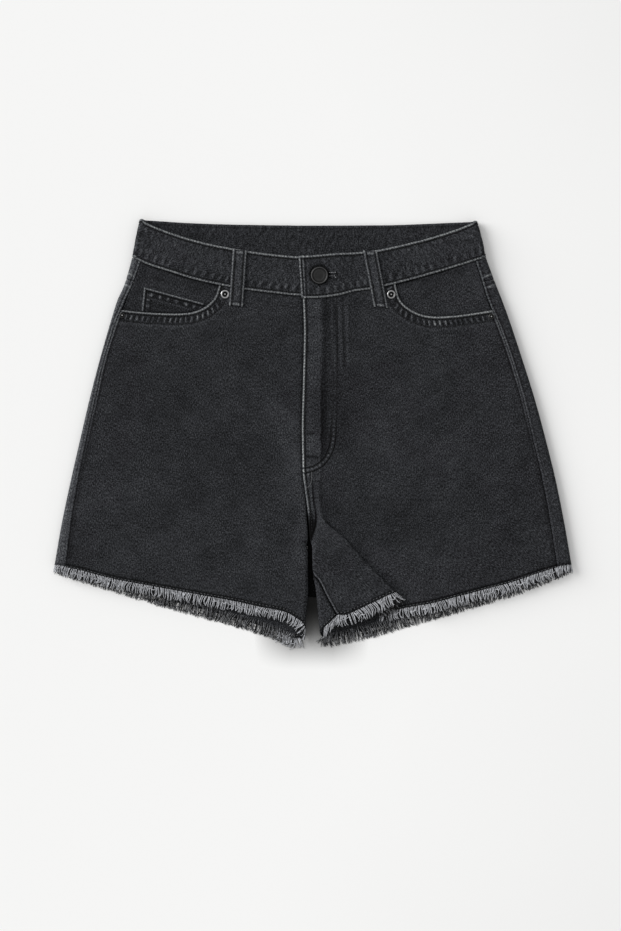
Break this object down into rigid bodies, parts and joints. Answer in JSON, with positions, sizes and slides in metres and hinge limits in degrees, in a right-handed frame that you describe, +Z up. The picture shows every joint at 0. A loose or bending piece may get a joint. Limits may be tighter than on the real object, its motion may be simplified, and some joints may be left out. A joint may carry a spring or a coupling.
{
  "type": "denim shorts",
  "caption": "Mid-length denim shorts laid flat, buttoned at the waist, with scooped front pockets, belt loops and frayed hems.",
  "frame": {"origin": "centre of the bounding box in plan, on the surface that the shorts lie on", "axes": "+X to the right across the laid-out front, +Y towards the waistband, +Z up from the surface"},
  "size_m": [0.5332, 0.4397, 0.0148],
  "materials": {
    "denim": "faded charcoal twill, matt",
    "denim_facing": "charcoal twill, matt",
    "frayed_denim": "frayed grey warp threads",
    "dark_metal": "gunmetal, satin",
    "aged_metal": "aged nickel, satin"
  },
  "bodies": {
    "root": {"crotch": "denim", "front_left": "denim", "front_right": "denim", "back_left": "denim", "back_right": "denim", "yoke_left": "denim", "yoke_right": "denim", "waistband": "denim", "coin_pocket": "denim", "belt_loop_front_left": "denim", "belt_loop_front_right": "denim", "belt_loop_back_left": "denim", "belt_loop_back_centre": "denim", "belt_loop_back_right": "denim", "back_pocket_left": "denim", "back_pocket_right": "denim", "pocket_facing_left": "denim_facing", "pocket_facing_right": "denim_facing", "fly_shield": "denim_facing", "fringe_front_left": "frayed_denim", "fringe_front_right": "frayed_denim", "fringe_pleat_middle": "frayed_denim", "fringe_pleat_top": "frayed_denim", "fringe_back_left": "frayed_denim", "fringe_back_right": "frayed_denim", "fringe_inseam_right": "frayed_denim", "button": "dark_metal", "rivet_side_left": "dark_metal", "rivet_side_right": "dark_metal", "rivet_left": "aged_metal", "rivet_right": "aged_metal"}
  },
  "joints": []
}
